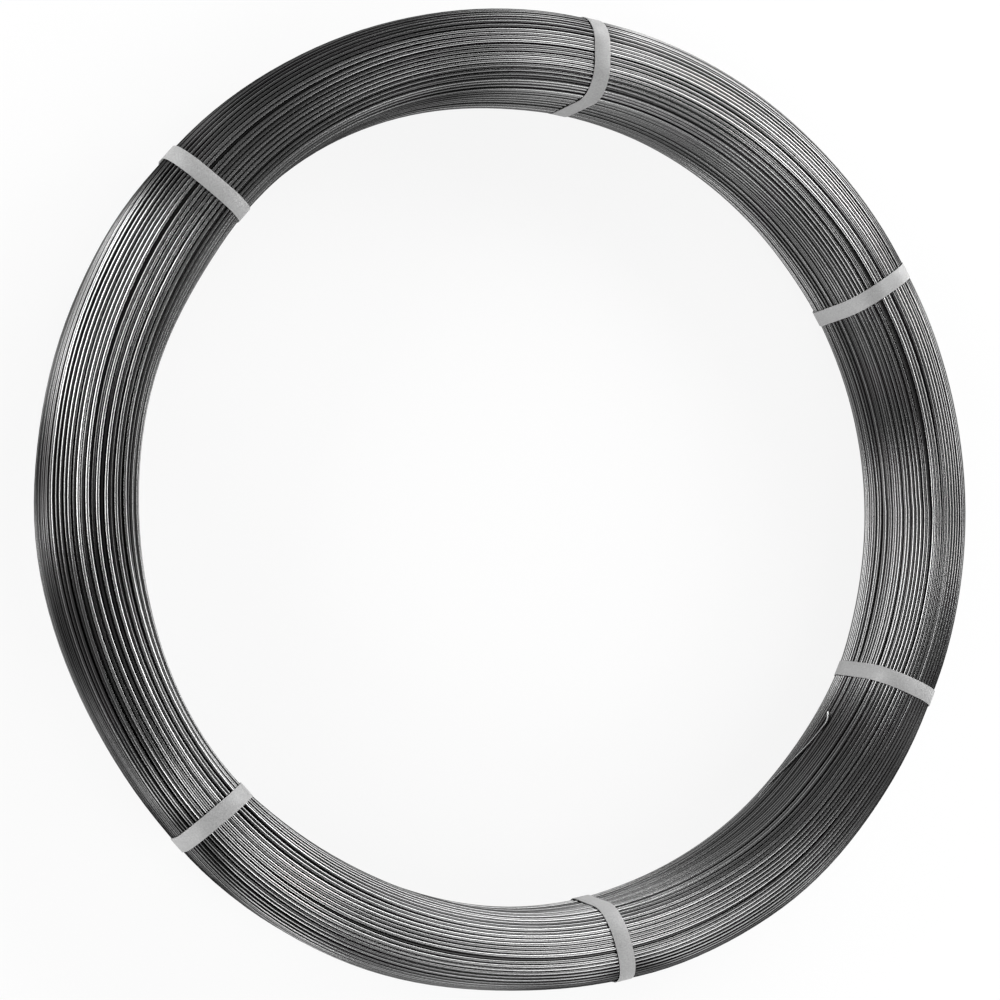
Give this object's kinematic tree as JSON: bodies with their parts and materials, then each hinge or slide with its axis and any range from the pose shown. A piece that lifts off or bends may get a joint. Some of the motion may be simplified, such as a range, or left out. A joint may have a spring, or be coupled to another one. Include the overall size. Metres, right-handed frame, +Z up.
{
  "type": "coil of steel wire",
  "caption": "Flat-lying ring-shaped coil of close-wound round steel wire with an open bore, held by flat steel straps around its section.",
  "frame": {"origin": "centre of the coil's axis in the plane of the floor that it lies on", "axes": "+Z up along the coil's axis; strap_1 lies 31.5 degrees anticlockwise of +X, seen from above"},
  "size_m": [0.698, 0.698, 0.0865],
  "materials": {
    "wire": "bare drawn steel wire, dull grey with bright drawing streaks along it",
    "strap": "zinc-grey steel strapping, smooth and satin"
  },
  "bodies": {
    "root": {"wire_coil": "wire", "strap_1": "strap", "strap_2": "strap", "strap_3": "strap", "strap_4": "strap", "strap_5": "strap", "strap_6": "strap"}
  },
  "joints": []
}
